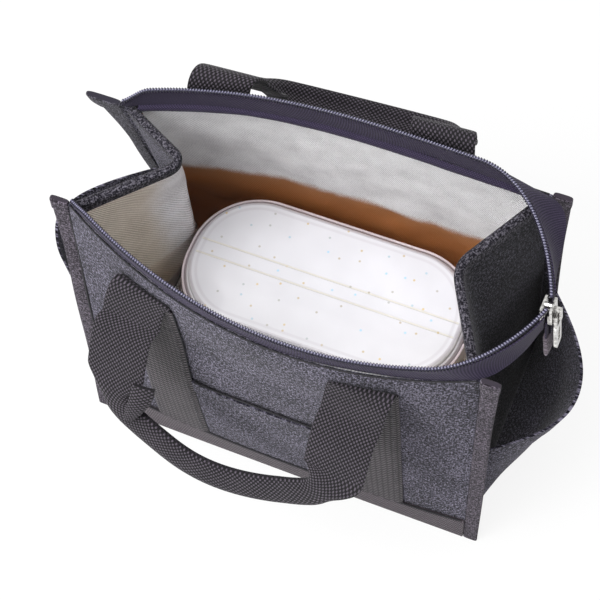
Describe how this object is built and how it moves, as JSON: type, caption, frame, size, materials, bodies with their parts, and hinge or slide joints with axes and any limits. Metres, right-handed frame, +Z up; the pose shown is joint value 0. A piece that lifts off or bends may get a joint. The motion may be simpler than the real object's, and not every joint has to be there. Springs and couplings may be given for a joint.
{
  "type": "insulated lunch carrier with lunch box",
  "caption": "Soft insulated lunch carrier with zip mouth, folded end gussets, side pockets and webbing handles, holding a tiered oval lunch box with lid and chopsticks.",
  "frame": {"origin": "middle of the carrier's base, on the surface it stands on", "axes": "+X along the carrier's length towards the zip slider, +Y towards its back, +Z up"},
  "size_m": [0.2956, 0.2329, 0.2028],
  "materials": {
    "outer_cloth": "heathered plain weave",
    "foil_lining": "embossed metallised film",
    "seam_binding": "heathered binding tape",
    "band_webbing": "ribbed webbing",
    "strap_webbing": "basket-weave webbing",
    "base_board": "plain sheet",
    "zip_tape": "woven tape",
    "zip_teeth": "moulded",
    "zip_metal": "nickel plated",
    "end_tab_cloth": "folded ribbon",
    "tray_plastic": "moulded",
    "seal_plastic": "translucent, flexible",
    "stick_plastic": "moulded",
    "lid_plastic": "translucent"
  },
  "bodies": {
    "bag": {"front_panel": "outer_cloth", "back_panel": "outer_cloth", "left_gusset": "outer_cloth", "right_gusset": "outer_cloth", "base_panel": "outer_cloth", "front_pocket": "outer_cloth", "left_pocket": "outer_cloth", "right_pocket": "outer_cloth", "front_lining": "foil_lining", "back_lining": "foil_lining", "left_gusset_lining": "foil_lining", "right_gusset_lining": "foil_lining", "base_lining": "foil_lining", "left_gusset_binding": "seam_binding", "right_gusset_binding": "seam_binding", "front_left_corner_seam": "seam_binding", "front_right_corner_seam": "seam_binding", "back_left_corner_seam": "seam_binding", "back_right_corner_seam": "seam_binding", "front_base_band": "band_webbing", "back_base_band": "band_webbing", "front_left_strap": "strap_webbing", "front_right_strap": "strap_webbing", "back_left_strap": "strap_webbing", "back_right_strap": "strap_webbing", "base_board": "base_board", "front_zip_tape": "zip_tape", "back_zip_tape": "zip_tape", "zip_tail": "zip_tape", "front_zip_teeth": "zip_teeth", "back_zip_teeth": "zip_teeth", "zip_slider": "zip_metal", "zip_end_tab": "end_tab_cloth"},
    "front_handle": {"front_handle": "strap_webbing"},
    "back_handle": {"back_handle": "strap_webbing"},
    "zip_pull": {"zip_pull": "zip_metal"},
    "lower_tray": {"lower_tray": "tray_plastic"},
    "lower_seal": {"lower_seal": "seal_plastic"},
    "upper_tray": {"upper_tray": "tray_plastic"},
    "upper_seal": {"upper_seal": "seal_plastic"},
    "chopsticks": {"front_chopstick": "stick_plastic", "back_chopstick": "stick_plastic"},
    "lunch_lid": {"lunch_lid": "lid_plastic"}
  },
  "joints": [
    {"name": "front_handle_swing", "type": "hinge", "parent": "bag", "child": "front_handle", "pos_m": [0, -0.06259, 0.1738], "axis": [-0.9966, 0.083, 0], "range_deg": [0, 148]},
    {"name": "back_handle_swing", "type": "hinge", "parent": "bag", "child": "back_handle", "pos_m": [-0.006, 0.06387, 0.195], "axis": [0.9985, 0.0545, 0], "range_deg": [0, 148]},
    {"name": "zip_pull_turn", "type": "hinge", "parent": "bag", "child": "zip_pull", "pos_m": [0.13068, -0.00618, 0.19317], "axis": [0, -0.985, 0.1724], "range_deg": [0, 150]},
    {"name": "lunch_box_lift", "type": "slide", "parent": "bag", "child": "lower_tray", "axis": [0, 0, 1], "range_m": [0, 0.2], "deforming": ["left_gusset", "left_gusset_lining", "left_gusset_binding", "right_gusset", "right_gusset_lining", "right_gusset_binding"]},
    {"name": "lower_seal_lift", "type": "slide", "parent": "lower_tray", "child": "lower_seal", "axis": [0, 0, 1], "range_m": [0, 0.035]},
    {"name": "upper_tray_lift", "type": "slide", "parent": "lower_seal", "child": "upper_tray", "axis": [0, 0, 1], "range_m": [0, 0.035]},
    {"name": "upper_seal_lift", "type": "slide", "parent": "upper_tray", "child": "upper_seal", "axis": [0, 0, 1], "range_m": [0, 0.035]},
    {"name": "chopsticks_lift", "type": "slide", "parent": "upper_seal", "child": "chopsticks", "axis": [0, 0, 1], "range_m": [0, 0.03]},
    {"name": "lid_lift", "type": "slide", "parent": "chopsticks", "child": "lunch_lid", "axis": [0, 0, 1], "range_m": [0, 0.035]}
  ]
}
